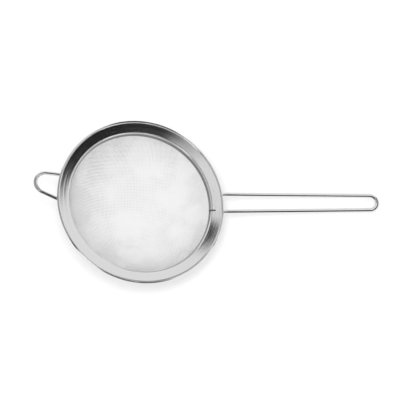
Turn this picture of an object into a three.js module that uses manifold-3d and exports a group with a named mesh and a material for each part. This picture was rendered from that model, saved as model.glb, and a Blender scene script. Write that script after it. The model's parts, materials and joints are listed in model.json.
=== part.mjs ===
// A mesh strainer: a polished rim, a bowl woven from separate wires, the collar that grips their
// ends, a hairpin wire handle and a wire rest loop that hooks on the edge of a pot.
// Millimetres, +Z up. It stands as it does on a table, on the bottom of the bowl and on the tip of
// the handle, which points along +X. The origin is on the table, under the middle of its box.

import * as THREE from 'three';
import { mergeVertices } from 'three/addons/utils/BufferGeometryUtils.js';
import Module from 'manifold-3d';

const degrees = THREE.MathUtils.degToRad;

// Rim: a strip of sheet with a rolled bead outside, a sloping flange and a lip turned down inside.
const RIM_DIAMETER = 200;
const RIM_SHEET = 0.8;
const BEAD_DIAMETER = 3;
const BEAD_STEP = 0.6;
const FLANGE_WIDTH = 14.6;
const FLANGE_SLOPE = degrees(7);
const LIP_DEPTH = 5.8;
const LIP_INSET = 1.8;
const LIP_BEND = 1.2;

// The butt seam of the strip shows as a short slit across the inner edge of the flange.
const SEAM_AZIMUTH = degrees(-6.7);
const SEAM_LENGTH = 4.7;
const SEAM_GAP = 0.9;

// Bowl: plain-woven wires, as many each way, and the collar that clamps their ends.
const BOWL_DEPTH = 74;
const MESH_WIRE = 1.2;
const MESH_WIRES_EACH_WAY = 25;
const COLLAR_SHEET = 1.5;
const COLLAR_HEIGHT = 7.5;

// Handle: a hairpin of round wire, reaching past the rim.
const HANDLE_WIRE = 4.6;
const HANDLE_LENGTH = 189.5;
const HANDLE_FOOT_SPREAD = 21.4;
const HANDLE_NOSE_RADIUS = 8.9;

// Rest loop: a shorter wire on the other side, a little off the handle's line.
const LOOP_WIRE = 4.6;
const LOOP_NOSE_AZIMUTH = degrees(167.3);
const LOOP_REACH = 13.8;
const LOOP_NOSE_RADIUS = 12.1;
const LOOP_UPPER_FOOT_AZIMUTH = degrees(157.5);
const LOOP_LOWER_FOOT_AZIMUTH = degrees(179.8);

// Room between pieces that touch, and how finely round forms are faceted.
const CLEARANCE = 0.3;
const RIM_FACETS = 64;
const SECTION_FACETS = 4;
const WIRE_FACETS = 8;
const NOSE_FACETS = 16;
const MERGE_DISTANCE = 1e-4;

// Rim heights are measured from the crown of the bead, radii from the axis of the bowl.
const rimRadius = RIM_DIAMETER / 2;
const beadRadius = BEAD_DIAMETER / 2;
const beadCentre = new THREE.Vector2(rimRadius - beadRadius, -beadRadius);
const flangeInner = rimRadius - FLANGE_WIDTH;
const flangeTop = (radius) => -BEAD_STEP - (beadCentre.x - radius) * Math.tan(FLANGE_SLOPE);
const flangeUnderside = (radius) => flangeTop(radius) - RIM_SHEET / Math.cos(FLANGE_SLOPE);

// The cloth is two wires thick where it is gripped. Its middle lies on a dome, part of a sphere.
const weaveLift = (MESH_WIRE + CLEARANCE) / 2;
const clothHalf = weaveLift + MESH_WIRE / 2;
const clothEdgeRadius = flangeInner + RIM_SHEET + CLEARANCE + clothHalf;
const clothEdgeTop = flangeUnderside(clothEdgeRadius) - CLEARANCE - MESH_WIRE;
const domeHeight = BOWL_DEPTH + clothEdgeTop;
const domeRadius = (clothEdgeRadius ** 2 + domeHeight ** 2) / (2 * domeHeight);
const domeCentre = domeRadius - BOWL_DEPTH;
const domeReach = domeRadius * Math.acos(1 - domeHeight / domeRadius);
const domeSection = (height) => Math.sqrt(domeRadius ** 2 - (height - domeCentre) ** 2);
const weavePitch = (2 * domeReach) / (MESH_WIRES_EACH_WAY + 1);

// The collar's wall follows the dome, outside the cloth.
const collarTop = flangeUnderside(clothEdgeRadius + clothHalf) - CLEARANCE;
const collarBottom = collarTop - COLLAR_HEIGHT;
const collarInner = (height) => domeSection(height) + clothHalf + CLEARANCE;
const collarOuter = (height) => collarInner(height) + COLLAR_SHEET;

// The handle and the loop run just below the bead.
const handleLevel = -BEAD_DIAMETER - CLEARANCE - HANDLE_WIRE / 2;
const handleTip = rimRadius + HANDLE_LENGTH - HANDLE_WIRE / 2;
const loopLevel = -BEAD_DIAMETER - CLEARANCE - LOOP_WIRE / 2;
const loopNoseDistance = rimRadius + LOOP_REACH;

// The strainer leans until the bowl and the tip of the handle both touch the table.
const tipRise = handleLevel - domeCentre;
const touchFall = domeRadius + clothHalf - HANDLE_WIRE / 2;
const restTilt = Math.asin(touchFall / Math.hypot(handleTip, tipRise)) + Math.atan2(tipRise, handleTip);

const wasm = await Module();
wasm.setup();

// Booleans: a closed geometry becomes a solid, and a solid becomes a geometry again.
function solidOf(geometry) {
  const bare = geometry.clone();
  bare.deleteAttribute('normal');
  bare.deleteAttribute('uv');
  const merged = mergeVertices(bare, MERGE_DISTANCE);
  const vertProperties = new Float32Array(merged.getAttribute('position').array);
  const triVerts = new Uint32Array(merged.getIndex().array);
  return new wasm.Manifold(new wasm.Mesh({ numProp: 3, vertProperties, triVerts }));
}

function geometryOf(solid) {
  const mesh = solid.getMesh();
  const geometry = new THREE.BufferGeometry();
  geometry.setAttribute('position', new THREE.BufferAttribute(mesh.vertProperties, 3));
  geometry.setIndex(new THREE.BufferAttribute(mesh.triVerts, 1));
  geometry.computeVertexNormals();
  return geometry;
}

// A closed section of radii and heights, turned about the axis of the bowl.
function turned(section) {
  const geometry = new THREE.LatheGeometry(section, RIM_FACETS);
  return geometry.rotateX(Math.PI / 2);
}

// A point on a circle about the axis of the bowl, seen from above.
function around(azimuth, radius) {
  return new THREE.Vector2(Math.cos(azimuth), Math.sin(azimuth)).multiplyScalar(radius);
}

// Where a line through a point in one direction meets a second line.
function meeting(point, direction, otherPoint, otherDirection) {
  const between = otherPoint.clone().sub(point);
  const share = between.cross(otherDirection) / direction.cross(otherDirection);
  return point.clone().addScaledVector(direction, share);
}

// The angle around the bead at which one face of the flange runs into it.
function beadAngle(face) {
  const offCentre = (face(beadCentre.x) - beadCentre.y) * Math.cos(FLANGE_SLOPE);
  return Math.PI + FLANGE_SLOPE - Math.asin(offCentre / beadRadius);
}

// A soft bend in the sheet, from one side of a corner to the other.
function bend(section, corner, from, to) {
  const before = corner.clone().addScaledVector(from, LIP_BEND);
  const after = corner.clone().addScaledVector(to, LIP_BEND);
  section.lineTo(before.x, before.y);
  section.quadraticCurveTo(corner.x, corner.y, after.x, after.y);
}

// Rim section: round the bead, in along the flange, down and up the lip, and out underneath.
function rimSection() {
  const outwards = new THREE.Vector2(Math.cos(FLANGE_SLOPE), Math.sin(FLANGE_SLOPE));
  const down = new THREE.Vector2(-LIP_INSET, -LIP_DEPTH).normalize();
  const wall = new THREE.Vector2(-down.y, down.x).multiplyScalar(RIM_SHEET);
  const innerCorner = new THREE.Vector2(flangeInner, flangeTop(flangeInner));
  const lipEnd = innerCorner.clone().addScaledVector(down, Math.hypot(LIP_INSET, LIP_DEPTH));
  const underside = new THREE.Vector2(flangeInner, flangeUnderside(flangeInner));
  const outerCorner = meeting(underside, outwards, innerCorner.clone().add(wall), down);
  const firstAngle = beadAngle(flangeUnderside) - 2 * Math.PI;
  const section = new THREE.Path();
  section.absarc(beadCentre.x, beadCentre.y, beadRadius, firstAngle, beadAngle(flangeTop), false);
  bend(section, innerCorner, outwards, down);
  section.lineTo(lipEnd.x, lipEnd.y);
  section.lineTo(lipEnd.x + wall.x, lipEnd.y + wall.y);
  bend(section, outerCorner, down, outwards);
  section.closePath();
  return section.getPoints(SECTION_FACETS);
}

// A slit through the flange's inner edge and the lip, where the ends of the strip meet.
function seamSlit() {
  const length = SEAM_LENGTH + 2 * LIP_INSET;
  const height = LIP_DEPTH + 2 * BEAD_DIAMETER;
  const slit = new THREE.BoxGeometry(length, SEAM_GAP, height);
  slit.translate(flangeInner + SEAM_LENGTH - length / 2, 0, flangeTop(flangeInner) - LIP_DEPTH / 2);
  return slit.rotateZ(SEAM_AZIMUTH);
}

function rimGeometry() {
  return geometryOf(solidOf(turned(rimSection())).subtract(solidOf(seamSlit())));
}

// A band about the bowl's axis, between two walls given as functions of height.
function band(inner, outer, bottom, top) {
  const section = [
    new THREE.Vector2(inner(bottom), bottom),
    new THREE.Vector2(outer(bottom), bottom),
    new THREE.Vector2(outer(top), top),
    new THREE.Vector2(inner(top), top),
    new THREE.Vector2(inner(bottom), bottom),
  ];
  return turned(section);
}

function collarGeometry() {
  return band(collarInner, collarOuter, collarBottom, collarTop);
}

// A curve through the knots of a bent wire, with one step from each knot to the next.
class BentWire extends THREE.Curve {
  constructor(knots) {
    super();
    this.knots = knots;
  }

  getPoint(share, target = new THREE.Vector3()) {
    const place = share * (this.knots.length - 1);
    const first = Math.min(Math.floor(place), this.knots.length - 2);
    return target.lerpVectors(this.knots[first], this.knots[first + 1], place - first);
  }

  getUtoTmapping(share) {
    return share;
  }
}

// The angle on a nose circle at which the straight leg from a foot runs onto it.
function tangentAngle(foot, centre, radius, side) {
  const leg = foot.clone().sub(centre);
  return leg.angle() + side * Math.acos(radius / leg.length());
}

// A hairpin of wire in a level plane: a leg, the turn round the nose, and the leg back.
function hairpin(leftFoot, rightFoot, centre, radius, wire, level) {
  const route = new THREE.Path();
  const first = tangentAngle(leftFoot, centre, radius, -1);
  const last = tangentAngle(rightFoot, centre, radius, 1);
  const turn = around(first, radius).add(centre);
  route.moveTo(leftFoot.x, leftFoot.y);
  route.lineTo(turn.x, turn.y);
  route.absarc(centre.x, centre.y, radius, first, last, true);
  route.lineTo(rightFoot.x, rightFoot.y);
  const knots = route.getPoints(NOSE_FACETS / 2).map(({ x, y }) => new THREE.Vector3(x, y, level));
  const section = new THREE.Shape().absarc(0, 0, wire / 2, 0, 2 * Math.PI, false);
  const geometry = new THREE.ExtrudeGeometry(section, {
    extrudePath: new BentWire(knots),
    steps: knots.length - 1,
    curveSegments: WIRE_FACETS / 2,
  });
  return geometry;
}

// The feet of a bent wire are coped to the collar's wall, where they are welded.
function coped(wireGeometry, wire) {
  const inner = (height) => collarOuter(height) - 2 * wire;
  const outer = (height) => collarOuter(height) + CLEARANCE;
  const seat = band(inner, outer, collarBottom - wire, collarTop);
  return geometryOf(solidOf(wireGeometry).subtract(solidOf(seat)));
}

function handleGeometry() {
  const footRadius = collarOuter(handleLevel) - HANDLE_WIRE / 2;
  const footSide = HANDLE_FOOT_SPREAD / 2;
  const footFront = Math.sqrt(footRadius ** 2 - footSide ** 2);
  const left = new THREE.Vector2(footFront, footSide);
  const right = new THREE.Vector2(footFront, -footSide);
  const centre = new THREE.Vector2(handleTip - HANDLE_NOSE_RADIUS, 0);
  const wire = hairpin(left, right, centre, HANDLE_NOSE_RADIUS, HANDLE_WIRE, handleLevel);
  return coped(wire, HANDLE_WIRE);
}

function loopGeometry() {
  const footRadius = collarOuter(loopLevel) - LOOP_WIRE / 2;
  const left = around(LOOP_LOWER_FOOT_AZIMUTH, footRadius);
  const right = around(LOOP_UPPER_FOOT_AZIMUTH, footRadius);
  const centre = around(LOOP_NOSE_AZIMUTH, loopNoseDistance);
  const wire = hairpin(left, right, centre, LOOP_NOSE_RADIUS, LOOP_WIRE, loopLevel);
  return coped(wire, LOOP_WIRE);
}

// The flat cloth is drawn over the dome: distances from its middle stay, and become arcs.
function outwardFrom(x, y) {
  const polar = Math.hypot(x, y) / domeRadius;
  const level = around(Math.atan2(y, x), Math.sin(polar));
  return new THREE.Vector3(level.x, level.y, -Math.cos(polar));
}

// Plain weave: a wire passes over at one crossing and under at the next, in straight slants.
function weave(crossing) {
  const beat = THREE.MathUtils.euclideanModulo(crossing, 2);
  return 2 * Math.abs(beat - 1) - 1;
}

// One cross-section of a mesh wire: its place, and the directions out of the cloth and across it.
function wireStation(place, offset, lift, isWarp) {
  const flat = (along) => (isWarp ? outwardFrom(along, offset) : outwardFrom(offset, along));
  const outward = flat(place);
  const ahead = flat(place + MESH_WIRE).sub(flat(place - MESH_WIRE)).normalize();
  const across = new THREE.Vector3().crossVectors(ahead, outward);
  const centre = outward.clone().multiplyScalar(domeRadius + lift);
  return { centre, outward, across };
}

// A four-sided wire through its stations, with an edge up and an edge down so that crossings clear.
function wireThrough(stations) {
  const corners = stations.flatMap(({ centre, outward, across }) => [
    centre.clone().addScaledVector(outward, MESH_WIRE / 2),
    centre.clone().addScaledVector(across, MESH_WIRE / 2),
    centre.clone().addScaledVector(outward, -MESH_WIRE / 2),
    centre.clone().addScaledVector(across, -MESH_WIRE / 2),
  ]);
  const faces = [0, 2, 1, 0, 3, 2];
  for (let ring = 0; ring < stations.length - 1; ring += 1) {
    for (let side = 0; side < 4; side += 1) {
      const here = 4 * ring + side;
      const beside = 4 * ring + ((side + 1) % 4);
      faces.push(here, beside, beside + 4, here, beside + 4, here + 4);
    }
  }
  const end = 4 * (stations.length - 1);
  faces.push(end, end + 1, end + 2, end, end + 2, end + 3);
  const geometry = new THREE.BufferGeometry().setFromPoints(corners);
  geometry.setIndex(faces);
  geometry.computeVertexNormals();
  return geometry.translate(0, 0, domeCentre);
}

// One wire of the cloth, from edge to edge of the dome, with a knot at every crossing.
function meshWireGeometry(number, isWarp) {
  const middle = (MESH_WIRES_EACH_WAY - 1) / 2;
  const offset = (number - middle) * weavePitch;
  const half = Math.sqrt(domeReach ** 2 - offset ** 2);
  const others = [...Array(MESH_WIRES_EACH_WAY).keys()];
  const crossings = others.map((other) => (other - middle) * weavePitch);
  const inside = crossings.filter((place) => Math.abs(place) < half - CLEARANCE);
  const places = [-half, ...inside, half];
  const stations = places.map((place) => {
    const lift = weaveLift * weave(place / weavePitch + middle + number);
    return wireStation(place, offset, isWarp ? lift : -lift, isWarp);
  });
  return wireThrough(stations);
}

function steelPiece(name, geometry, color, roughness) {
  const material = new THREE.MeshStandardMaterial({ color, roughness, metalness: 1 });
  const piece = new THREE.Mesh(geometry, material);
  piece.name = name;
  return piece;
}

const strainer = new THREE.Group();
strainer.add(steelPiece('rim', rimGeometry(), 0xd9dadb, 0.12));
strainer.add(steelPiece('mesh_collar', collarGeometry(), 0xc9cbcc, 0.3));
strainer.add(steelPiece('handle', handleGeometry(), 0xd2d4d5, 0.15));
strainer.add(steelPiece('rest_loop', loopGeometry(), 0xd2d4d5, 0.15));
for (let number = 0; number < MESH_WIRES_EACH_WAY; number += 1) {
  const label = String(number + 1).padStart(2, '0');
  strainer.add(steelPiece(`mesh_warp_${label}`, meshWireGeometry(number, true), 0xe4e5e6, 0.25));
  strainer.add(steelPiece(`mesh_weft_${label}`, meshWireGeometry(number, false), 0xe4e5e6, 0.25));
}

// Stand the leaning strainer on the table, with the origin under the middle of its box.
strainer.rotation.y = restTilt;
const box = new THREE.Box3().setFromObject(strainer, true);
const middle = box.getCenter(new THREE.Vector3());
strainer.position.set(-middle.x, -middle.y, -box.min.z);

const part = new THREE.Group();
part.add(strainer);

export default part;
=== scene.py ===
# %% [markdown]
# # A mesh strainer in polished steel
#
# The strainer is a bowl of woven wire, held in a rolled steel rim, with a hairpin of wire for a
# handle and a short wire loop that hooks on the edge of a pot. It leans on the table: the bowl
# touches it with its bottom and the handle with its tip. The solids of the packed model hold the
# sizes and places. This lesson dresses them with finer surfaces, the finish of the steel and the
# light of a small studio.

# %% Load the solids
import json
import math

import bpy
import numpy as np
from mathutils import Matrix, Vector


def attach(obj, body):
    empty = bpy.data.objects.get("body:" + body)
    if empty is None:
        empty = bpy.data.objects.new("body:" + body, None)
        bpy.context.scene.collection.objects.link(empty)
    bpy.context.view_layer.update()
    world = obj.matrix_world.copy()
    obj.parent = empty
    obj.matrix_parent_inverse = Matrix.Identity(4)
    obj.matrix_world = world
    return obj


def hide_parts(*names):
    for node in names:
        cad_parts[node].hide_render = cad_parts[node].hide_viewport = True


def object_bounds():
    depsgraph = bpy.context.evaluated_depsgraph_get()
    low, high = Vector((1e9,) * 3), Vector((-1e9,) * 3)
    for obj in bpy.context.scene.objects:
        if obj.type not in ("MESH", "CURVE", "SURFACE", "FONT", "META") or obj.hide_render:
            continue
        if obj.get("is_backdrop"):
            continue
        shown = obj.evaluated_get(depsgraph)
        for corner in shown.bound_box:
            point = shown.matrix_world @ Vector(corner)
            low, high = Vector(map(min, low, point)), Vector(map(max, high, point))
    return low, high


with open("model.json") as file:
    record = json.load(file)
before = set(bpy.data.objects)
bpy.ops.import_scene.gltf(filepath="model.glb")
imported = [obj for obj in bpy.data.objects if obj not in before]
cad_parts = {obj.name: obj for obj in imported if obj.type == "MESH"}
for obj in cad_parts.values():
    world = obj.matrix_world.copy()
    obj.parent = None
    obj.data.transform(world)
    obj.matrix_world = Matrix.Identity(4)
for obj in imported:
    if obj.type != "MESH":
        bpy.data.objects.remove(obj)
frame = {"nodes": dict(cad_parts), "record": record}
cad_low, cad_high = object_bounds()
print("solids:", len(frame["nodes"]), "box in mm:", [round(1000 * side, 1) for side in cad_high - cad_low])

# %% [markdown]
# ## Driving sizes
#
# A few sizes drive the whole strainer, and the rest follows from them as on a maker's drawing. The
# flange falls inwards from just under the bead, the cloth's edge lies under the flange behind the
# lip, and the dome is the sphere through that edge and the lowest point of the bowl. All lengths are
# millimetres from the crown of the bead, on the axis of the bowl.

# %% Rim, cloth edge and dome
RIM_RADIUS = 100.0
RIM_SHEET = 0.8
BEAD_RADIUS = 1.5
BEAD_STEP = 0.6
FLANGE_WIDTH = 14.6
FLANGE_SLOPE = math.radians(7)
BOWL_DEPTH = 74.0
SOLID_WIRE = 1.2
CLEARANCE = 0.3

bead_middle = RIM_RADIUS - BEAD_RADIUS
flange_inner = RIM_RADIUS - FLANGE_WIDTH
cloth_half = SOLID_WIRE + CLEARANCE / 2
cloth_edge_radius = flange_inner + RIM_SHEET + CLEARANCE + cloth_half


def flange_top(radius):
    """The flange's upper face falls inwards, from one step below the bead's crown."""
    return -BEAD_STEP - (bead_middle - radius) * math.tan(FLANGE_SLOPE)


def flange_underside(radius):
    """The lower face lies one sheet below, measured square to the slope."""
    return flange_top(radius) - RIM_SHEET / math.cos(FLANGE_SLOPE)


cloth_edge_height = flange_underside(cloth_edge_radius) - CLEARANCE - SOLID_WIRE
dome_height = BOWL_DEPTH + cloth_edge_height
dome_radius = (cloth_edge_radius**2 + dome_height**2) / (2 * dome_height)
dome_centre = dome_radius - BOWL_DEPTH
print("flange from", flange_inner, "dome radius:", round(dome_radius, 3), "centre:", round(dome_centre, 3))

# %% The collar's band
COLLAR_SHEET = 1.5
COLLAR_HEIGHT = 7.5

collar_top = flange_underside(cloth_edge_radius + cloth_half) - CLEARANCE
collar_bottom = collar_top - COLLAR_HEIGHT


def collar_inner(height):
    """The band is a clearance outside the cloth, whose radius there is sqrt(R^2 - (z - centre)^2)."""
    return math.sqrt(dome_radius**2 - (height - dome_centre) ** 2) + cloth_half + CLEARANCE


collar_lean = math.atan2(COLLAR_HEIGHT, collar_inner(collar_top) - collar_inner(collar_bottom))
print("collar from", round(collar_bottom, 3), "to", round(collar_top, 3))

# %% [markdown]
# ## The strainer's own frame
#
# Nearly every piece is round about the axis of the bowl, so it is easiest to describe in a frame of
# its own, with the handle along +X. The axis leans, as the strainer does on the table. The record's
# mount lies on the lower edge of the collar and points down the axis, so it gives the lean and, with
# the collar's depth, the way back up to the crown.

# %% From the strainer's frame to the table
MM = 0.001

seat = frame["record"]["mounts"][0]
lean = math.atan2(-seat["axis"][0], -seat["axis"][2])
own_axes = np.array([
    [math.cos(lean), 0, -math.sin(lean)],
    [0, 1, 0],
    [math.sin(lean), 0, math.cos(lean)],
])
crown = np.array([seat["pos_m"][0], 0, seat["pos_m"][2]]) - own_axes[2] * collar_bottom * MM


def placed(points):
    """The crown's place, plus each own coordinate times its axis, in metres."""
    return crown + (points @ own_axes) * MM


print("lean in degrees:", round(math.degrees(lean), 3), "crown of the rim:", crown.round(4))

# %% [markdown]
# ## From points to a piece
#
# A surface is a grid of points. Quads join each point to its neighbours in the next row and column,
# and a direction that closes on itself joins its last points to its first. Writing the point numbers
# as whole arrays keeps this quick even for the cloth, which has hundreds of thousands of points.
# Shading is smooth, but not over a corner as sharp as the cut end of a sheet.

# %% Grids and pieces
CUT_ANGLE = math.radians(75)


def grid_quads(rows, columns, closed_rows=False, closed_columns=False):
    """Corners of every cell of a grid numbered row by row: here, next column, both, next row."""
    row = np.arange(rows if closed_rows else rows - 1)[:, None]
    column = np.arange(columns if closed_columns else columns - 1)[None, :]
    next_row = (row + 1) % rows
    next_column = (column + 1) % columns
    corners = (
        row * columns + column,
        row * columns + next_column,
        next_row * columns + next_column,
        next_row * columns + column,
    )
    return np.stack(np.broadcast_arrays(*corners), -1).reshape(-1, 4)


def steel_piece(name, points, faces, nodes):
    """A smooth mesh at the strainer's place, which rides on it and stands for the solids named."""
    mesh = bpy.data.meshes.new(name)
    mesh.from_pydata(placed(points.reshape(-1, 3)).tolist(), [], faces, shade_flat=False)
    mesh.set_sharp_from_angle(angle=CUT_ANGLE)
    piece = bpy.data.objects.new(name, mesh)
    bpy.context.scene.collection.objects.link(piece)
    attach(piece, "root")
    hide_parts(*nodes)
    print(name, "points:", len(mesh.vertices), "faces:", len(mesh.polygons))
    return piece


print("corners of a grid of 2 by 3 points:", grid_quads(2, 3).tolist())

# %% [markdown]
# ## A profile as a walk
#
# Sheet metal is made of straight runs and bends, so a profile is described the way one would walk
# it: go so far straight on, or turn by so much along an arc. The walk gives the middle of the sheet
# and its heading at every step, and the two faces lie half a sheet to the left and right of it.
# Offsetting a list of corner points would also work, but it needs care at every corner; on a walk
# the bends stay true arcs on both faces.

# %% Walks
def run(length, steps):
    """A leg straight on."""
    return length, 0.0, steps


def bend(radius, turn, steps):
    """A leg along an arc, to the left where turn is positive; its length is radius * turn."""
    return radius * abs(turn), turn, steps


def walk(start, heading, legs):
    """Points and headings along the legs. On an arc of signed radius length / turn, the place moves by
    radius * (sin(now) - sin(first), cos(first) - cos(now)); on a straight leg, along the heading."""
    points, headings = [np.array([start])], [np.array([heading])]
    for length, turn, steps in legs:
        share = np.arange(1, steps + 1) / steps
        first = headings[-1][-1]
        now = first + turn * share
        if turn:
            swing = np.stack([np.sin(now) - np.sin(first), np.cos(first) - np.cos(now)], 1)
            moved = length / turn * swing
        else:
            moved = length * share[:, None] * np.array([math.cos(first), math.sin(first)])
        points.append(points[-1][-1] + moved)
        headings.append(now)
    return np.concatenate(points), np.concatenate(headings)


quarter = walk((0.0, 0.0), 0.0, [bend(1.0, math.pi / 2, 4)])[0][-1]
print("a quarter turn to the left ends at", quarter.round(3))

# %% Sheets
EDGE_STEPS = 4


def sheet_section(points, headings, thickness):
    """The closed outline of a sheet: left face out, a round end, right face back, a round end. Each of
    its points is a point of the middle plus half the thickness in the direction of an angle. The list
    starts halfway round the first end, so point i and point -1 - i lie across the sheet."""
    sweep = (np.arange(1, 2 * EDGE_STEPS + 1) / (2 * EDGE_STEPS + 1) - 0.5) * math.pi
    first_end = headings[0] + math.pi - sweep
    last_end = headings[-1] - sweep
    angles = np.concatenate([
        first_end[EDGE_STEPS:],
        headings + math.pi / 2,
        last_end,
        headings[::-1] - math.pi / 2,
        first_end[:EDGE_STEPS],
    ])
    first, last = np.zeros(EDGE_STEPS, int), np.full(2 * EDGE_STEPS, len(points) - 1)
    middle = np.arange(len(points))
    order = np.concatenate([first, middle, last, middle[::-1], first])
    return points[order] + thickness / 2 * np.stack([np.cos(angles), np.sin(angles)], 1)


def turned(section, azimuths):
    """Carries a section of radii and heights round the axis: (r cos a, r sin a, z). The azimuths are
    one row for each step round, either one number or one for each point of the section."""
    radius, height = section[:, 0], section[:, 1]
    across, along = radius * np.cos(azimuths), radius * np.sin(azimuths)
    return np.stack([across, along, np.broadcast_to(height, across.shape)], -1)


flat_sheet = sheet_section(*walk((0.0, 0.0), 0.0, [run(1.0, 1)]), 0.2)
print("a flat sheet's section has", len(flat_sheet), "points")

# %% [markdown]
# ## The rim
#
# The rim is one strip of sheet. In section it starts at the lower edge of a short lip, bends into a
# wide flange that climbs gently outwards, dips through a small groove and curls round into a hollow
# bead. A cone joined to a torus would give the outline but not the curl, so the section is walked
# once, each leg tangent to the one before, and carried round the axis.

# %% The rim's section
LIP_DEPTH = 5.8
LIP_INSET = 1.8
LIP_BEND = 1.2
GROOVE_BEND = 0.7
CURL_END = math.radians(-150)
BEND_MARGIN = 0.2

half_sheet = RIM_SHEET / 2
bead_place = np.array([bead_middle, -BEAD_RADIUS])
flange_along = np.array([math.cos(FLANGE_SLOPE), math.sin(FLANGE_SLOPE)])
flange_up = np.array([-math.sin(FLANGE_SLOPE), math.cos(FLANGE_SLOPE)])


def rim_walk():
    """The middle of the strip, half a sheet behind the face that shows, from the lip to the curl. A
    bend of radius b and turn t starts b * tan(t / 2) before the corner of the lines it joins."""
    lip_heading = math.atan2(LIP_DEPTH, LIP_INSET)
    lip_turn = FLANGE_SLOPE - lip_heading
    lip_tangent = LIP_BEND * math.tan(abs(lip_turn) / 2)
    face_corner = np.array([flange_inner, flange_top(flange_inner)])
    behind_lip = np.array([math.sin(lip_heading), -math.cos(lip_heading)])
    start = face_corner - np.array([LIP_INSET, LIP_DEPTH]) + half_sheet * behind_lip
    behind = (lip_heading + FLANGE_SLOPE - math.pi) / 2
    corner_depth = half_sheet / math.cos(lip_turn / 2)
    corner = face_corner + corner_depth * np.array([math.cos(behind), math.sin(behind)])

    curl_bend = BEAD_RADIUS - half_sheet
    flange_over_bead = (corner - bead_place) @ flange_up
    groove_turn = math.acos((GROOVE_BEND + flange_over_bead) / (GROOVE_BEND + curl_bend))
    groove_back = (GROOVE_BEND + curl_bend) * math.sin(groove_turn)
    flange_run = (bead_place - corner) @ flange_along - groove_back - lip_tangent
    curl_turn = CURL_END - math.pi / 2 - (FLANGE_SLOPE + groove_turn)
    return walk(start, lip_heading, [
        run(np.linalg.norm(corner - start) - lip_tangent, 5),
        bend(LIP_BEND, lip_turn, 10),
        run(BEND_MARGIN, 1),
        run(flange_run - 2 * BEND_MARGIN, 18),
        run(BEND_MARGIN, 1),
        bend(GROOVE_BEND, groove_turn, 8),
        bend(curl_bend, curl_turn, 44),
    ])


rim_outline = sheet_section(*rim_walk(), RIM_SHEET)
print("rim section from", rim_outline.min(0).round(2), "to", rim_outline.max(0).round(2))

# %% [markdown]
# The two ends of the strip meet beside the handle in a butt seam. It stands a little open across the
# lip and the inner part of the flange and is shut from there to the bead. So each point of the
# section has a gap of its own, and its circle starts and stops half a gap from the seam. The strip's
# ends are then closed by quads across the sheet.

# %% The rim
RIM_STEPS = 480
SEAM_AZIMUTH = math.radians(-6.7)
SEAM_LENGTH = 4.7
SEAM_GAP = 0.35
SEAM_HAIRLINE = 0.01
SEAM_FADE = 0.8


def smooth_step(low, high, values):
    """0 below low, 1 above high and 3t^2 - 2t^3 between them."""
    share = np.clip((values - low) / (high - low), 0, 1)
    return share * share * (3 - 2 * share)


def strip_azimuths(section):
    """One row of azimuths for each step along the strip, from the seam round to the seam."""
    seam_end = flange_inner + SEAM_LENGTH
    closed = smooth_step(seam_end - SEAM_FADE, seam_end, section[:, 0])
    half_angle = (SEAM_GAP + (SEAM_HAIRLINE - SEAM_GAP) * closed) / 2 / section[:, 0]
    share = np.linspace(0, 1, RIM_STEPS)[:, None]
    return SEAM_AZIMUTH + half_angle + (2 * math.pi - 2 * half_angle) * share


def strip_ends(count):
    """Quads across the sheet at the strip's first and last section, facing out of its ends."""
    near = np.arange(count // 2 - 1)
    end = np.stack([near, near + 1, count - 2 - near, count - 1 - near], 1)
    return np.concatenate([end[:, ::-1], end + (RIM_STEPS - 1) * count])


rim_points = turned(rim_outline, strip_azimuths(rim_outline))
rim_faces = np.concatenate([
    grid_quads(RIM_STEPS, len(rim_outline), closed_columns=True),
    strip_ends(len(rim_outline)),
])
rim = steel_piece("rim_strip", rim_points, rim_faces.tolist(), ["rim"])

# %% [markdown]
# ## The collar
#
# Under the flange a band of sheet goes round the edge of the cloth and holds it behind the lip. Its
# wall leans as the bowl does there. A plain ring would have knife edges, so it is a short straight
# walk with round edges, turned about the axis.

# %% The collar
COLLAR_STEPS = 256


def collar_outer(height):
    """The radius of the collar's outer wall grows evenly with height."""
    return collar_inner(collar_bottom) + COLLAR_SHEET + (height - collar_bottom) / math.tan(collar_lean)


def collar_section():
    """A straight run up the middle of the band, short of both edges by their rounding."""
    low, high = collar_bottom + COLLAR_SHEET / 2, collar_top - COLLAR_SHEET / 2
    start = (collar_outer(low) - COLLAR_SHEET / 2, low)
    middle = walk(start, collar_lean, [run((high - low) / math.sin(collar_lean), 4)])
    return sheet_section(*middle, COLLAR_SHEET)


collar_outline = collar_section()
collar_azimuths = np.arange(COLLAR_STEPS)[:, None] * 2 * math.pi / COLLAR_STEPS
collar_points = turned(collar_outline, collar_azimuths)
collar_faces = grid_quads(COLLAR_STEPS, len(collar_outline), closed_rows=True, closed_columns=True)
collar = steel_piece("collar_band", collar_points, collar_faces.tolist(), ["mesh_collar"])

# %% [markdown]
# ## The wire handle and the rest loop
#
# Both are hairpins of round wire in a level plane under the bead: a leg, a turn round a nose and a
# leg back. A curve object with a bevel would do, but its feet would end square. Here each leg's
# lines are run on until they meet the collar's wall, and near it the wire swells like the fillet of
# a weld.

# %% Rings along a wire
WIRE_RADIUS = 2.3
WIRE_LEVEL = -5.6
WIRE_SIDES = 32
UP = np.array([0, 0, 1.0])


def plan(angle, distance):
    """A point of the wire's level plane, at an azimuth and a distance from the axis."""
    return np.array([distance * math.cos(angle), distance * math.sin(angle), WIRE_LEVEL])


def rings(centres, ahead, radii):
    """A round section on each centre: centre + radius * (cos a * side + sin a * up)."""
    angle = np.arange(WIRE_SIDES)[None, :, None] * 2 * math.pi / WIRE_SIDES
    side = np.cross(ahead, UP)[:, None]
    return centres[:, None] + radii[:, None, None] * (np.cos(angle) * side + np.sin(angle) * UP)


print("a wire", 2 * WIRE_RADIUS, "mm thick has", WIRE_SIDES, "sides")

# %% A leg with its weld
WELD = 0.9
WELD_SINK = 0.5
WELD_STEPS = 6
LEG_STEPS = 12

foot_distance = collar_outer(WIRE_LEVEL) - WIRE_RADIUS


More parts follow.
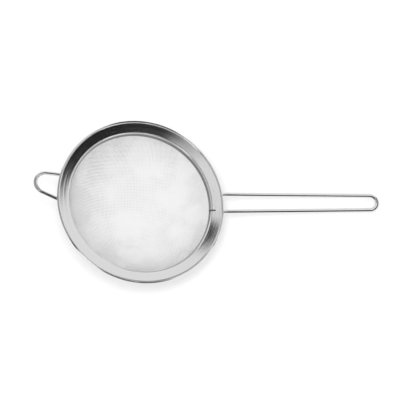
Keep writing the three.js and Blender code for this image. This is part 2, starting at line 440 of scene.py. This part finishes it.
def leg(foot, tip):
    """Rings from the collar's wall to the tip of a leg. A line of the leg through q meets the wall of
    radius R where t = -q.d + sqrt((q.d)^2 - q.q + R^2); the fillet is a quarter circle about the foot."""
    ahead = (tip - foot) / np.linalg.norm(tip - foot)
    turn = np.linspace(0, math.pi / 2, WELD_STEPS)
    back = np.concatenate([[-WELD_SINK], WELD * (1 - np.cos(turn))])
    swell = np.concatenate([[WELD], WELD * (1 - np.sin(turn))])
    directions = np.repeat(ahead[None], len(back), 0)
    sections = rings(np.repeat(foot[None], len(back), 0), directions, WIRE_RADIUS + swell)
    flat = sections[..., :2]
    forward = flat @ ahead[:2]
    wall = collar_outer(sections[..., 2])
    reach = -forward + np.sqrt(forward**2 - (flat**2).sum(-1) + wall**2)
    welded = sections + (reach + back[:, None])[..., None] * ahead
    share = np.arange(1, LEG_STEPS + 1)[:, None, None] / (LEG_STEPS + 1)
    tip_ring = rings(tip[None], ahead[None], np.array([WIRE_RADIUS]))
    return np.concatenate([welded, welded[-1:] + share * (tip_ring - welded[-1:])])


print("the feet of the wires lie", round(foot_distance, 2), "mm from the axis")

# %% The whole hairpin
NOSE_STEPS = 56


def hairpin(left_foot, right_foot, nose, nose_radius):
    """Leg, turn and leg. A leg touches the nose circle where the foot, seen from the nose, lies
    arccos(radius / distance) further round; the turn goes clockwise between the two touches."""
    feet = (left_foot, right_foot)
    seen = [np.arctan2(*(foot - nose)[1::-1]) for foot in feet]
    open_angle = [math.acos(nose_radius / np.linalg.norm(foot - nose)) for foot in feet]
    first, last = seen[0] - open_angle[0], seen[1] + open_angle[1]
    sweep = (first - last) % (2 * math.pi)
    turn = first - sweep * np.linspace(0, 1, NOSE_STEPS)
    outward = np.stack([np.cos(turn), np.sin(turn), 0 * turn], 1)
    ahead = np.stack([np.sin(turn), -np.cos(turn), 0 * turn], 1)
    arc = nose + nose_radius * outward
    there = leg(left_foot, arc[0])
    back = leg(right_foot, arc[-1])
    mirrored = (WIRE_SIDES // 2 - np.arange(WIRE_SIDES)) % WIRE_SIDES
    turned_back = back[::-1, mirrored]
    return np.concatenate([there, rings(arc, ahead, np.full(NOSE_STEPS, WIRE_RADIUS)), turned_back])


def wire_faces(count):
    """The wall of the wire, and one face over each foot."""
    wall = grid_quads(count, WIRE_SIDES, closed_columns=True)[:, ::-1].tolist()
    first = list(range(WIRE_SIDES))
    last = list(range(count * WIRE_SIDES - 1, (count - 1) * WIRE_SIDES - 1, -1))
    return wall + [first, last]


print("rings of points in a hairpin:", NOSE_STEPS + 2 * (1 + WELD_STEPS + LEG_STEPS))

# %% The handle
HANDLE_LENGTH = 189.5
HANDLE_FOOT_SPREAD = 21.4
HANDLE_NOSE = 8.9

handle_tip = RIM_RADIUS + HANDLE_LENGTH - WIRE_RADIUS
handle_foot = math.asin(HANDLE_FOOT_SPREAD / 2 / foot_distance)
handle_points = hairpin(
    plan(handle_foot, foot_distance),
    plan(-handle_foot, foot_distance),
    plan(0, handle_tip - HANDLE_NOSE),
    HANDLE_NOSE,
)
handle = steel_piece("handle_wire", handle_points, wire_faces(len(handle_points)), ["handle"])

# %% The rest loop
LOOP_NOSE_AZIMUTH = math.radians(167.3)
LOOP_REACH = 13.8
LOOP_NOSE = 12.1
LOOP_LOWER_FOOT = math.radians(179.8)
LOOP_UPPER_FOOT = math.radians(157.5)

loop_points = hairpin(
    plan(LOOP_LOWER_FOOT, foot_distance),
    plan(LOOP_UPPER_FOOT, foot_distance),
    plan(LOOP_NOSE_AZIMUTH, RIM_RADIUS + LOOP_REACH),
    LOOP_NOSE,
)
loop = steel_piece("loop_wire", loop_points, wire_faces(len(loop_points)), ["rest_loop"])

# %% [markdown]
# ## The woven cloth
#
# The bowl is fine wire cloth, pressed into a dome. The solids have a coarse weave of the same kind;
# here every wire of a fine plain weave is made. Flat, wire i lies beside the middle by so many pitches
# and passes over and under the crossing wires in turn. Drawing the flat cloth over a sphere keeps each
# point's distance from the middle as an arc. A see-through texture on a dome would be lighter, but it
# would have no thickness, and nothing of it would be left in the finished mesh.

# %% The dome
CLOTH_WIRE = 0.22
WIRES_EACH_WAY = 136

cloth_radius = dome_radius + cloth_half - CLOTH_WIRE
cloth_reach = cloth_radius * math.asin(cloth_edge_radius / dome_radius)
pitch = 2 * cloth_reach / (WIRES_EACH_WAY + 1)


def outward_at(flat):
    """The direction from the dome's centre to a flat point: its distance becomes the angle
    distance / radius away from straight down, in the same compass direction."""
    distance = np.linalg.norm(flat, axis=-1, keepdims=True)
    angle = distance / cloth_radius
    level = flat * np.sinc(angle / math.pi) / cloth_radius
    return np.concatenate([level, -np.cos(angle)], -1)


print("pitch in mm:", round(pitch, 3), "open share:", round((1 - CLOTH_WIRE / pitch) ** 2, 3))

# %% The wires of one direction
CLOTH_SIDES = 6
STEPS_PER_PITCH = 2


def cloth_wires(numbers, is_warp):
    """Rings of points for some wires of the cloth, and which of their stations lie on it. A station
    lifts by cos(pi * (wire + crossing)) half wires out of the cloth, so a wire is over one crossing and
    under the next; round it, a corner is the middle + half a wire * (cos a * outward + sin a * across)."""
    middle = (WIRES_EACH_WAY - 1) / 2
    crossings = np.arange(STEPS_PER_PITCH * (WIRES_EACH_WAY - 1) + 1) / STEPS_PER_PITCH
    wire, crossing = np.meshgrid(numbers, crossings, indexing="ij")
    beside, along = (wire - middle) * pitch, (crossing - middle) * pitch
    inside = np.hypot(beside, along) < cloth_reach
    over = 1 if is_warp else -1
    lift = over * np.cos(math.pi * (wire + crossing)) * CLOTH_WIRE / 2

    def drawn(shift):
        flat = np.stack([along + shift, beside] if is_warp else [beside, along + shift], -1)
        return outward_at(flat)

    outward = drawn(0)
    ahead = drawn(pitch / 4) - drawn(-pitch / 4)
    across = np.cross(ahead, outward)
    across /= np.linalg.norm(across, axis=-1, keepdims=True)
    centre = outward * (cloth_radius + lift)[..., None] + np.array([0, 0, dome_centre])
    angle = np.arange(CLOTH_SIDES)[:, None] * 2 * math.pi / CLOTH_SIDES
    round_it = np.cos(angle) * outward[..., None, :] + np.sin(angle) * across[..., None, :]
    return (centre[..., None, :] + CLOTH_WIRE / 2 * round_it)[inside], inside


def cloth_faces(inside):
    """A quad for each side of a wire from each station to the next, and one face over each end."""
    number = np.cumsum(inside).reshape(inside.shape) - 1
    joined = inside[:, 1:] & inside[:, :-1]
    near = CLOTH_SIDES * number[:, :-1][joined][:, None]
    far = CLOTH_SIDES * number[:, 1:][joined][:, None]
    side = np.arange(CLOTH_SIDES)
    beside = (side + 1) % CLOTH_SIDES
    walls = np.stack([near + side, near + beside, far + beside, far + side], -1).reshape(-1, 4)
    count = inside.sum(1)
    last = np.cumsum(count) - 1
    first = last - count + 1
    ends = np.concatenate([CLOTH_SIDES * first[:, None] + side[::-1], CLOTH_SIDES * last[:, None] + side])
    return walls, ends


print("stations along a wire of the cloth:", STEPS_PER_PITCH * (WIRES_EACH_WAY - 1) + 1)

# %% [markdown]
# A finish can only be baked into a picture if every face has a place of its own on a flat map. For a
# wire that is easy to give: how far along it lies across the map, and each side of each wire has a
# row of its own.

# %% The cloth's flat map
BAKE_MAP = "OFBake"


def cloth_map(inside):
    """Map places for the corners of the walls, then of the ends: station / stations, and
    (wire + side / sides) / wires. An end shrinks to a point of its wire's first row."""
    wires, stations = inside.shape
    joined = inside[:, 1:] & inside[:, :-1]
    wire, station = np.nonzero(joined)
    row = (wire[:, None] + np.arange(CLOTH_SIDES) / CLOTH_SIDES) / wires
    next_row = row + 1 / CLOTH_SIDES / wires
    near = np.broadcast_to((station / stations)[:, None], row.shape)
    far = near + 1 / stations
    corners = [(near, row), (near, next_row), (far, next_row), (far, row)]
    walls = np.stack([np.stack(corner, -1) for corner in corners], -2).reshape(-1, 2)
    first = np.argmax(inside, 1) / stations
    last = (stations - 1 - np.argmax(inside[:, ::-1], 1)) / stations
    end = np.stack([np.concatenate([first, last]), np.tile(np.arange(wires) / wires, 2)], -1)
    return np.concatenate([walls, np.repeat(end, CLOTH_SIDES, 0)])


print("rows of the map for one half of the wires:", CLOTH_SIDES * WIRES_EACH_WAY // 2)

# %% [markdown]
# All the wires of one direction would make a mesh too heavy to handle, so each direction is cut into
# two pieces, and each piece stands for half of the coarse wires of that direction.

# %% The cloth in four pieces
half_way = WIRES_EACH_WAY // 2
cloth_pieces = []
for direction, is_warp in (("warp", True), ("weft", False)):
    names = sorted(name for name in frame["nodes"] if name.startswith("mesh_" + direction))
    for part, numbers, nodes in (
        ("low", np.arange(half_way), names[: len(names) // 2]),
        ("high", np.arange(half_way, WIRES_EACH_WAY), names[len(names) // 2 :]),
    ):
        corners, inside = cloth_wires(numbers, is_warp)
        walls, ends = cloth_faces(inside)
        faces = walls.tolist() + ends.tolist()
        piece = steel_piece(f"cloth_{direction}_{part}", corners, faces, nodes)
        flat_map = piece.data.uv_layers.new(name=BAKE_MAP)
        flat_map.uv.foreach_set("vector", cloth_map(inside).astype(np.float32).ravel())
        cloth_pieces.append(piece)

# %% [markdown]
# ## Shader sums
#
# A finish is a sum of patterns, and a node tree is an awkward way to write a sum. This small class
# wraps the output of a node: adding, subtracting or multiplying two of them, or one and a number,
# adds the Math node for it, and one method adds any other node.

# %% Flows through a node tree
class Flow:
    """An output in a node tree that takes part in Python sums."""

    def __init__(self, tree, socket=None):
        self.tree = tree
        self.socket = socket

    def node(self, kind, settings, sockets, output=0):
        """Adds a node: its settings first, then a value or a link for each socket. Gives one output."""
        made = self.tree.nodes.new(kind)
        for name, value in settings.items():
            setattr(made, name, value)
        for name, value in sockets.items():
            if isinstance(value, Flow):
                self.tree.links.new(value.socket, made.inputs[name])
            else:
                made.inputs[name].default_value = value
        return Flow(self.tree, made.outputs[output])

    def maths(self, operation, *terms):
        return self.node("ShaderNodeMath", {"operation": operation}, dict(enumerate(terms)))

    def __add__(self, other):
        return self.maths("ADD", self, other)

    def __sub__(self, other):
        return self.maths("SUBTRACT", self, other)

    def __rsub__(self, other):
        return self.maths("SUBTRACT", other, self)

    def __mul__(self, other):
        return self.maths("MULTIPLY", self, other)

    def __truediv__(self, other):
        return self.maths("DIVIDE", self, other)

    __radd__ = __add__
    __rmul__ = __mul__

    def root(self):
        """The square root."""
        return self.maths("SQRT", self)

    def unsigned(self):
        """The number without its sign."""
        return self.maths("ABSOLUTE", self)

    def rise(self, low, high):
        """0 below low, 1 above high, and smooth between them."""
        settings = {"interpolation_type": "SMOOTHSTEP"}
        return self.node("ShaderNodeMapRange", settings, {0: self, 1: low, 2: high, 3: 0.0, 4: 1.0})

    def between(self, first, second):
        """The colour this share of the way from the first to the second."""
        return self.node("ShaderNodeMix", {"data_type": "RGBA"}, {0: self, 6: first, 7: second}, 2)

    def parts(self):
        """The three numbers of a vector."""
        split = self.node("ShaderNodeSeparateXYZ", {}, {0: self})
        return [Flow(self.tree, socket) for socket in split.socket.node.outputs]

    def joined(self, *numbers):
        """A vector from three numbers."""
        return self.node("ShaderNodeCombineXYZ", {}, dict(enumerate(numbers)))

    def noise(self, detail):
        """Cloudy noise from 0 to 1, read at this vector."""
        return self.node("ShaderNodeTexNoise", {}, {"Vector": self, "Scale": 1.0, "Detail": detail})


print("sums that a flow can take part in:", [name for name in vars(Flow) if name.startswith("__")][3:])

# %% Starting a material
def grey(level):
    """A neutral colour."""
    return (level, level, level, 1.0)


def finish_of(name):
    """A new metal: the start of its node tree and its shader."""
    material = bpy.data.materials.new(name)
    material.use_nodes = True
    shader = material.node_tree.nodes["Principled BSDF"]
    shader.inputs["Metallic"].default_value = 1.0
    return material, Flow(material.node_tree), shader


def feed(flow, shader, socket):
    """Links a flow into one socket of a shader."""
    flow.tree.links.new(flow.socket, shader.inputs[socket])


print("a neutral colour:", grey(0.5))

# %% [markdown]
# ## Polished sheet
#
# The rim was polished while it turned, so its lines run round it: they are long in azimuth and short
# across. Noise does that if it is read at the point's compass direction, in slow steps, and at its
# distance across the strip, in quick ones. The compass direction goes in as cosine and sine, so that
# the pattern closes on itself. Dull lines are rougher. The fine lines are very shallow grooves, and
# slower ripples from the rolling bend the reflections into long streaks.

# %% Places on the strainer
def own_place(start):
    """The point in the strainer's own millimetres, and its distance from the bowl's axis."""
    place = start.node("ShaderNodeTexCoord", {}, {}, "Object")
    own = place.node(
        "ShaderNodeMapping",
        {"vector_type": "TEXTURE"},
        {"Vector": place, "Location": tuple(crown), "Rotation": (0, lean, 0), "Scale": (MM, MM, MM)},
    )
    x, y, z = own.parts()
    return x, y, z, (x * x + y * y).root()


def round_the_axis(start, turns, per_mm):
    """Where to read noise: slow in compass direction, quick across the strip."""
    x, y, z, radius = own_place(start)
    return start.joined(x / radius * turns, y / radius * turns, (radius - z) * per_mm)


print("places are read from the crown at", crown.round(4), "and a lean of", round(lean, 4))

# %% [markdown]
# Two places on the rim are made dark. The steel beside the open seam is darker. The lip, where it turns
# down into the bowl, is darkened as painted shade. Both are shares that the colour of the steel is
# multiplied by, each 1 elsewhere on the steel.

# %% Dark seam and painted shade on the lip
SEAM_DARK_LEVEL = 0.12
SEAM_DARK_INNER, SEAM_DARK_OUTER = 0.6, 1.2
SEAM_DARK_END_FADE = 0.5
LIP_SHADE_LEVEL = 0.34
LIP_SHADE_FROM, LIP_SHADE_BELOW = -3.0, -4.2
LIP_MARGIN_INNER, LIP_MARGIN_OUTER = 1.0, 2.0


# The steel is made darker beside the open seam.
def seam_darkening(start):
    """Less than 1 beside the open seam: near it across, short of its end, and on the handle's side."""
    x, y, _, radius = own_place(start)
    across = y * math.cos(SEAM_AZIMUTH) - x * math.sin(SEAM_AZIMUTH)
    seam_end = flange_inner + SEAM_LENGTH
    beside = across.unsigned().rise(SEAM_DARK_INNER, SEAM_DARK_OUTER)
    beyond = radius.rise(seam_end - SEAM_DARK_END_FADE, seam_end + SEAM_DARK_END_FADE)
    not_darkened = 1 - (1 - beside) * (1 - beyond) * x.rise(0.0, 1.0)
    return SEAM_DARK_LEVEL + (1 - SEAM_DARK_LEVEL) * not_darkened


# Painted shade: the lip below its bend is darkened.
def lip_shade(start):
    """Less than 1 on the lip: below its bend and no further out than the flange's inner edge."""
    _, _, z, radius = own_place(start)
    above = z.rise(LIP_SHADE_BELOW, LIP_SHADE_FROM)
    outside = radius.rise(flange_inner + LIP_MARGIN_INNER, flange_inner + LIP_MARGIN_OUTER)
    return LIP_SHADE_LEVEL + (1 - LIP_SHADE_LEVEL) * (1 - (1 - above) * (1 - outside))


print("dark shares:", SEAM_DARK_LEVEL, "beside the seam and", LIP_SHADE_LEVEL, "on the lip")

# %% [markdown]
# Rim and collar differ only in how bright and how smooth they are, so one function makes both finishes.
# Slow bands and quick lines share out the colour, the roughness and the height.

# %% Rim and collar finish
LINE_TURNS, LINES_PER_MM = 2.0, 1.8
BAND_TURNS, BANDS_PER_MM = 1.2, 0.35
COLOUR_BANDS = 0.7
ROUGH_LINES = 0.6
HEIGHT_BANDS = 0.8


def turned_steel(name, bright, dull, smooth, rough, ripple):
    """Steel polished or brushed round the bowl's axis, rippled by so many millimetres."""
    material, start, shader = finish_of(name)
    lines = round_the_axis(start, LINE_TURNS, LINES_PER_MM).noise(3.0)
    bands = round_the_axis(start, BAND_TURNS, BANDS_PER_MM).noise(2.0)
    # Darker beside the seam, and painted shade on the lip.
    darkening = seam_darkening(start) * lip_shade(start)
    polished = (COLOUR_BANDS * bands + (1 - COLOUR_BANDS) * lines).between(dull, bright)
    feed(darkening.between(grey(0.0), polished), shader, "Base Color")
    worn = ROUGH_LINES * lines + (1 - ROUGH_LINES) * bands
    feed(smooth + (rough - smooth) * worn, shader, "Roughness")
    height = HEIGHT_BANDS * bands + (1 - HEIGHT_BANDS) * lines
    bump = start.node("ShaderNodeBump", {}, {"Strength": 1.0, "Distance": ripple * MM, "Height": height})
    feed(bump, shader, "Normal")
    return material


rim_steel = turned_steel("rim_steel", grey(0.81), grey(0.73), 0.02, 0.12, 0.03)
collar_steel = turned_steel("collar_steel", grey(0.74), grey(0.64), 0.2, 0.4, 0.03)
rim.data.materials.append(rim_steel)
collar.data.materials.append(collar_steel)
print("sheet finishes:", rim_steel.name, collar_steel.name)

# %% [markdown]
# ## Drawn wire
#
# Wire is pulled through a die, so its lines run along it, round the nose too. Object coordinates
# would cut across them there; instead each point of a wire carries its place along the wire and its
# direction round it, and the noise is read from that.

# %% The grain of the wires
def add_grain(piece, points):
    """Stores, for each point, its length along the wire and the cosine and sine of its place round it."""
    middles = points.mean(1)
    step = np.linalg.norm(np.diff(middles, axis=0), axis=1)
    length = np.concatenate([[0.0], np.cumsum(step)])
    angle = np.arange(WIRE_SIDES) * 2 * math.pi / WIRE_SIDES
    length, angle = np.meshgrid(length, angle, indexing="ij")
    grain = np.stack([length, np.cos(angle), np.sin(angle)], -1).astype(np.float32)
    piece.data.attributes.new("grain", "FLOAT_VECTOR", "POINT").data.foreach_set("vector", grain.ravel())
    print(piece.name, "wire length in mm:", round(float(length.max())))


for piece, points in ((handle, handle_points), (loop, loop_points)):
    add_grain(piece, points)

# %% Handle and loop finish
LINES_PER_LENGTH, LINES_ROUND = 0.03, 5.0
CLOUDS_PER_LENGTH = 0.08
WIRE_DULL, WIRE_BRIGHT = 0.70, 0.84
LINE_DEPTH = 0.01


def drawn_steel():
    """Bright wire with shallow lines along it and slow clouds."""
    material, start, shader = finish_of("wire_steel")
    grain = start.node("ShaderNodeAttribute", {"attribute_name": "grain"}, {}, "Vector")
    length, across, above = grain.parts()
    lines = start.joined(length * LINES_PER_LENGTH, across * LINES_ROUND, above * LINES_ROUND).noise(3.0)
    clouds = start.joined(length * CLOUDS_PER_LENGTH, across, above).noise(2.0)
    bright = 0.5 * lines + 0.5 * clouds
    feed(bright.between(grey(WIRE_DULL), grey(WIRE_BRIGHT)), shader, "Base Color")
    feed(0.05 + 0.12 * lines, shader, "Roughness")
    bump = start.node("ShaderNodeBump", {}, {"Strength": 1.0, "Distance": LINE_DEPTH * MM, "Height": lines})
    feed(bump, shader, "Normal")
    return material


wire_steel = drawn_steel()
for piece in (handle, loop):
    piece.data.materials.append(wire_steel)
print("wire finish:", wire_steel.name)

# %% [markdown]
# ## Bright cloth
#
# The wires of the cloth are too thin to show lines of their own. What shows is that the cloth was scoured:
# it is duller in random patches. It is also darker up the wall in painted shade, away from a painted bright
# place a little beside the middle. Noise in Object coordinates runs on from wire to wire and from piece to
# piece, so the patches belong to the bowl and not to a wire.

# %% Cloth finish
CLOTH_METAL = 0.9
CLOTH_BRIGHT, CLOTH_DULL_AND_SHADED = 0.94, 0.12
PATCH_LENGTH = 30.0
# The painted bright place, and the radii over which painted shade darkens the wall.
PAINTED_LIGHT_CENTRE = (26.0, 12.0)
WALL_START = 34.0
WALL_END = 88.0
WALL_SHADE_SHARE = 0.65


def cloth_steel():
    """Fine wire, duller in random patches, with painted shade up its wall away from a painted bright place.
    """
    material, start, shader = finish_of("mesh_steel")
    shader.inputs["Metallic"].default_value = CLOTH_METAL
    x, y, z, _ = own_place(start)
    beside, behind = x - PAINTED_LIGHT_CENTRE[0], y - PAINTED_LIGHT_CENTRE[1]
    radius = (beside * beside + behind * behind).root()
    patches = start.joined(x / PATCH_LENGTH, y / PATCH_LENGTH, z / PATCH_LENGTH).noise(2.0)
    # Painted shade: darker with distance from the painted bright place, up the wall; mixed with random dull
    # patches.
    painted_shade_up_wall = radius.rise(WALL_START, WALL_END)
    dull = WALL_SHADE_SHARE * painted_shade_up_wall + (1 - WALL_SHADE_SHARE) * patches.rise(0.35, 0.65)
    feed(dull.between(grey(CLOTH_BRIGHT), grey(CLOTH_DULL_AND_SHADED)), shader, "Base Color")
    feed(0.4 + 0.15 * dull, shader, "Roughness")
    return material


mesh_steel = cloth_steel()
for piece in cloth_pieces:
    piece.data.materials.append(mesh_steel)
print("cloth pieces with", mesh_steel.name + ":", len(cloth_pieces))

# %% [markdown]
# ## The room
#
# Polished steel has no look of its own: it shows the room. The room is evenly bright, and the camera
# itself sees plain white. An even room alone would leave the steel a flat grey, so a few black cards
# hang in it, as they do round polished goods in a studio.

# %% White room
ROOM_LEVEL = 0.9

scene = bpy.context.scene
scene.view_settings.view_transform = "Standard"


def white_room():
    """Lights the object evenly, and shows white to the camera."""
    world = bpy.data.worlds.new("room")
    world.use_nodes = True
    start = Flow(world.node_tree)
    ray = start.node("ShaderNodeLightPath", {}, {}, "Is Camera Ray")
    background = world.node_tree.nodes["Background"]
    background.inputs["Color"].default_value = grey(1.0)
    feed(ROOM_LEVEL + (1 - ROOM_LEVEL) * ray, background, "Strength")
    return world


scene.world = white_room()
print("room level:", ROOM_LEVEL)

# %% [markdown]
# ## Black cards
#
# A card is a flat sheet that only reflections see. Its map runs from 0 to 1 both ways, and near each
# border it fades out over a width of its own: a crisp border makes a hard line in the steel, a soft
# one a slow fade.

# %% Hanging a card
CARD_BLACK = 0.02


def card_finish(name, fades, density):
    """Black in the middle of the card, and clear at its borders: left, right, low and high."""
    material = bpy.data.materials.new(name)
    material.use_nodes = True
    tree = material.node_tree
    tree.nodes.remove(tree.nodes["Principled BSDF"])
    start = Flow(tree)
    u, v, _ = start.node("ShaderNodeTexCoord", {}, {}, "UV").parts()
    left, right, low, high = fades
    middle = u.rise(0.0, left) * (1 - u).rise(0.0, right) * v.rise(0.0, low) * (1 - v).rise(0.0, high)
    clear = start.node("ShaderNodeBsdfTransparent", {}, {})
    paper = start.node("ShaderNodeEmission", {}, {"Color": grey(1.0), "Strength": CARD_BLACK})
    mixed = start.node("ShaderNodeMixShader", {}, {0: density * middle, 1: clear, 2: paper})
    feed(mixed, tree.nodes["Material Output"], "Surface")
    return material


def hang_card(name, corner, across, up, borders, density):
    """A sheet from a corner along two sides, in metres, with the widths over which its borders fade."""
    corner, across, up = Vector(corner), Vector(across), Vector(up)
    mesh = bpy.data.meshes.new(name)
    mesh.from_pydata([corner, corner + across, corner + across + up, corner + up], [], [(0, 1, 2, 3)])
    mesh.uv_layers.new(name="card").uv.foreach_set("vector", (0, 0, 1, 0, 1, 1, 0, 1))
    sides = (across.length, across.length, up.length, up.length)
    fades = [border / side for border, side in zip(borders, sides)]
    mesh.materials.append(card_finish(name, fades, density))
    card = bpy.data.objects.new(name, mesh)
    card.visible_camera = False
    card.visible_diffuse = False
    card.visible_shadow = False
    scene.collection.objects.link(card)
    card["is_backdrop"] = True
    print(name, "in mm:", round(across.length / MM), "by", round(up.length / MM))


print("a card gives off", CARD_BLACK, "of plain white")

# %% [markdown]
# The flange mirrors a small stretch of the ceiling. A card there darkens its far half, a lighter one
# beside it makes the half tone where that ends, and a small one draws the dark patch beside the handle.
# Round edges mirror the ceiling further towards the front. One long card there darkens the groove along
# the far bead, and one more to the left darkens the legs of the rest loop.

# %% Cards on the ceiling
CEILING = 0.70


def ceiling_card(name, x, y, borders, density=1.0):
    """A level card between two values of x and two of y."""
    corner = (x[0], y[0], CEILING)
    hang_card(name, corner, (x[1] - x[0], 0, 0), (0, y[1] - y[0], 0), borders, density)


ceiling_card("card_far_half", (0.202, 0.371), (0.123, 0.275), (0.014, 0.006, 0.02, 0.03))
ceiling_card("card_half_tone", (0.186, 0.215), (0.10, 0.178), (0.006, 0.006, 0.02, 0.008), 0.4)
ceiling_card("card_far_line", (0.18, 0.40), (-0.55, 0.14), (0.03, 0.03, 0.05, 0.01))
ceiling_card("card_over_loop", (-0.15, 0.170), (-0.55, 0.34), (0.03, 0.012, 0.05, 0.04))
ceiling_card("card_patch", (0.15, 0.212), (0.238, 0.30), (0.006, 0.014, 0.006, 0.02))

# %% [markdown]
# The other cards stand upright round the strainer, clear of it. A round wire mirrors all of the room
# across its width, so an upright card beside it becomes a thin dark line along it. These places are
# easiest to give in the strainer's own frame.

# %% Cards round the rim, the handle and the loop
def upright_card(name, start, end, height, borders, density=1.0):
    """A card from a start to an end, and so high, in the strainer's own millimetres."""
    corner, far, high = placed(np.array([start, end, np.add(start, height * UP)], float))
    hang_card(name, corner, far - corner, high - corner, borders, density)


upright_card("card_near_bead", (-100, -135, -30), (75, -135, -30), 75, (0.03, 0.03, 0.02, 0.02))
upright_card("card_far_bead", (-40, 135, -30), (100, 135, -30), 170, (0.03, 0.03, 0.01, 0.05))
upright_card("card_left", (-165, -120, -50), (-165, 140, -50), 220, (0.04, 0.03, 0.02, 0.04), 0.55)
upright_card("card_loop_front", (-190, -70, -30), (-95, -70, -30), 180, (0.02, 0.02, 0.02, 0.03))
upright_card("card_handle", (110, -60, -15), (350, -60, -15), 160, (0.01, 0.01, 0.01, 0.03))
upright_card("card_handle_tip", (330, -60, -15), (330, 60, -15), 120, (0.02, 0.02, 0.01, 0.03))

# %% [markdown]
# ## Table and lamps
#
# The table is white. Part of that white is given off towards the camera and towards reflections, so that
# the shadow stays as pale as in a bright studio. Under the bowl that part is larger: a painted pool of
# light, standing in for the light that falls through the cloth.

# %% The table
TABLE_HALF = 12.0
TABLE_WHITE = 0.9
TABLE_GLOW = 0.37
PAINTED_POOL_GLOW = 0.82
PAINTED_POOL_CENTRE = (-0.065, 0.012)
POOL_INNER = 0.025
POOL_OUTER = 0.085


def table_white():
    """Matt white, with a share of plain white for the rays that look at it, larger in a painted pool of
    light under the bowl.
    """
    material = bpy.data.materials.new("table_white")
    material.use_nodes = True
    tree = material.node_tree
    tree.nodes.remove(tree.nodes["Principled BSDF"])
    start = Flow(tree)
    rays = start.node("ShaderNodeLightPath", {}, {}).socket.node.outputs
    camera_ray, glossy_ray, passing_ray = (
        Flow(tree, rays[name]) for name in ("Is Camera Ray", "Is Glossy Ray", "Is Transmission Ray")
    )
    looking = camera_ray + glossy_ray + passing_ray
    # A painted pool of light: more plain white near a centre under the bowl.
    x, y, _ = start.node("ShaderNodeTexCoord", {}, {}, "Object").parts()
    x, y = x - PAINTED_POOL_CENTRE[0], y - PAINTED_POOL_CENTRE[1]
    outside_painted_pool = (x * x + y * y).root().rise(POOL_INNER, POOL_OUTER)
    share = PAINTED_POOL_GLOW + (TABLE_GLOW - PAINTED_POOL_GLOW) * outside_painted_pool
    matt = start.node("ShaderNodeBsdfDiffuse", {}, {"Color": grey(TABLE_WHITE)})
    glow = start.node("ShaderNodeEmission", {}, {"Color": grey(1.0)})
    mixed = start.node("ShaderNodeMixShader", {}, {0: share * looking, 1: matt, 2: glow})
    feed(mixed, tree.nodes["Material Output"], "Surface")
    return material


table_mesh = bpy.data.meshes.new("table")
table_corners = TABLE_HALF * np.array([(-1, -1, 0), (1, -1, 0), (1, 1, 0), (-1, 1, 0)])
table_mesh.from_pydata(table_corners.tolist(), [], [(0, 1, 2, 3)])
table_mesh.materials.append(table_white())
table = bpy.data.objects.new("table", table_mesh)
scene.collection.objects.link(table)
table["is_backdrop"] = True
print("table in metres:", 2 * TABLE_HALF, "square")

# %% [markdown]
# A soft lamp hangs high above, a little in front of the strainer and to its left. It lays the soft
# shadow on the table, and reflections don't see it, so the polished steel has no hot spots. A wide, weak
# lamp further to the front and left is there to be mirrored: it brightens edges that face it.

# %% The lamps
def hang_lamp(name, place, width, watts, mirrored):
    """A round soft lamp that points at the strainer, and whether the steel mirrors it."""
    lamp_data = bpy.data.lights.new(name, "AREA")
    lamp_data.shape = "DISK"
    lamp_data.size = width
    lamp_data.energy = watts
    lamp = bpy.data.objects.new(name, lamp_data)
    lamp.location = place
    lamp.rotation_euler = Vector(place).to_track_quat("Z", "Y").to_euler()
    lamp.visible_glossy = mirrored
    lamp.visible_camera = False
    scene.collection.objects.link(lamp)
    print(name, "in watts:", watts, "at:", place)


hang_lamp("softbox", (-0.16, -0.45, 1.95), 0.36, 15.0, False)
hang_lamp("side_lamp", (-0.50, -0.78, 1.77), 0.6, 1.5, True)

# %% [markdown]
# ## The camera
#
# The picture looks down steeply, a little from the left, through a long lens, so the rim stays an
# ellipse and the handle's wires stay nearly parallel.

# %% Camera
CAMERA_AZIMUTH = math.radians(-4.6)
CAMERA_ELEVATION = math.radians(72)
CAMERA_DISTANCE = 10.0
VIEW_WIDTH = 0.4664
AIM_RIGHT = 0.069
AIM_UP = 0.0018

toward = Vector((
    math.sin(CAMERA_AZIMUTH) * math.cos(CAMERA_ELEVATION),
    -math.cos(CAMERA_AZIMUTH) * math.cos(CAMERA_ELEVATION),
    math.sin(CAMERA_ELEVATION),
))
right = Vector((0, 0, 1)).cross(toward).normalized()
up = toward.cross(right)
aim = Vector(crown) + right * AIM_RIGHT + up * AIM_UP
camera_data = bpy.data.cameras.new("camera")
camera_data.lens = camera_data.sensor_width * CAMERA_DISTANCE / VIEW_WIDTH
camera = bpy.data.objects.new("camera", camera_data)
turned_to = Matrix((right, up, toward)).transposed().to_4x4()
camera.matrix_world = Matrix.Translation(aim + toward * CAMERA_DISTANCE) @ turned_to
scene.collection.objects.link(camera)
scene.camera = camera
print("lens in mm:", round(camera_data.lens), "camera at:", camera.matrix_world.translation)

# %% [markdown]
# ## Sizes
#
# The dressed strainer is meant to stay within the box of its solids. The solids' box is printed at the
# start, and here how far the dressed strainer reaches past it.

# %% Box of the solids and of the dressed strainer
new_low, new_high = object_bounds()
past_box = [*(cad_low - new_low), *(new_high - cad_high)]
print("outside the solids' box in mm:", [round(max(0, past) / MM, 3) for past in past_box])
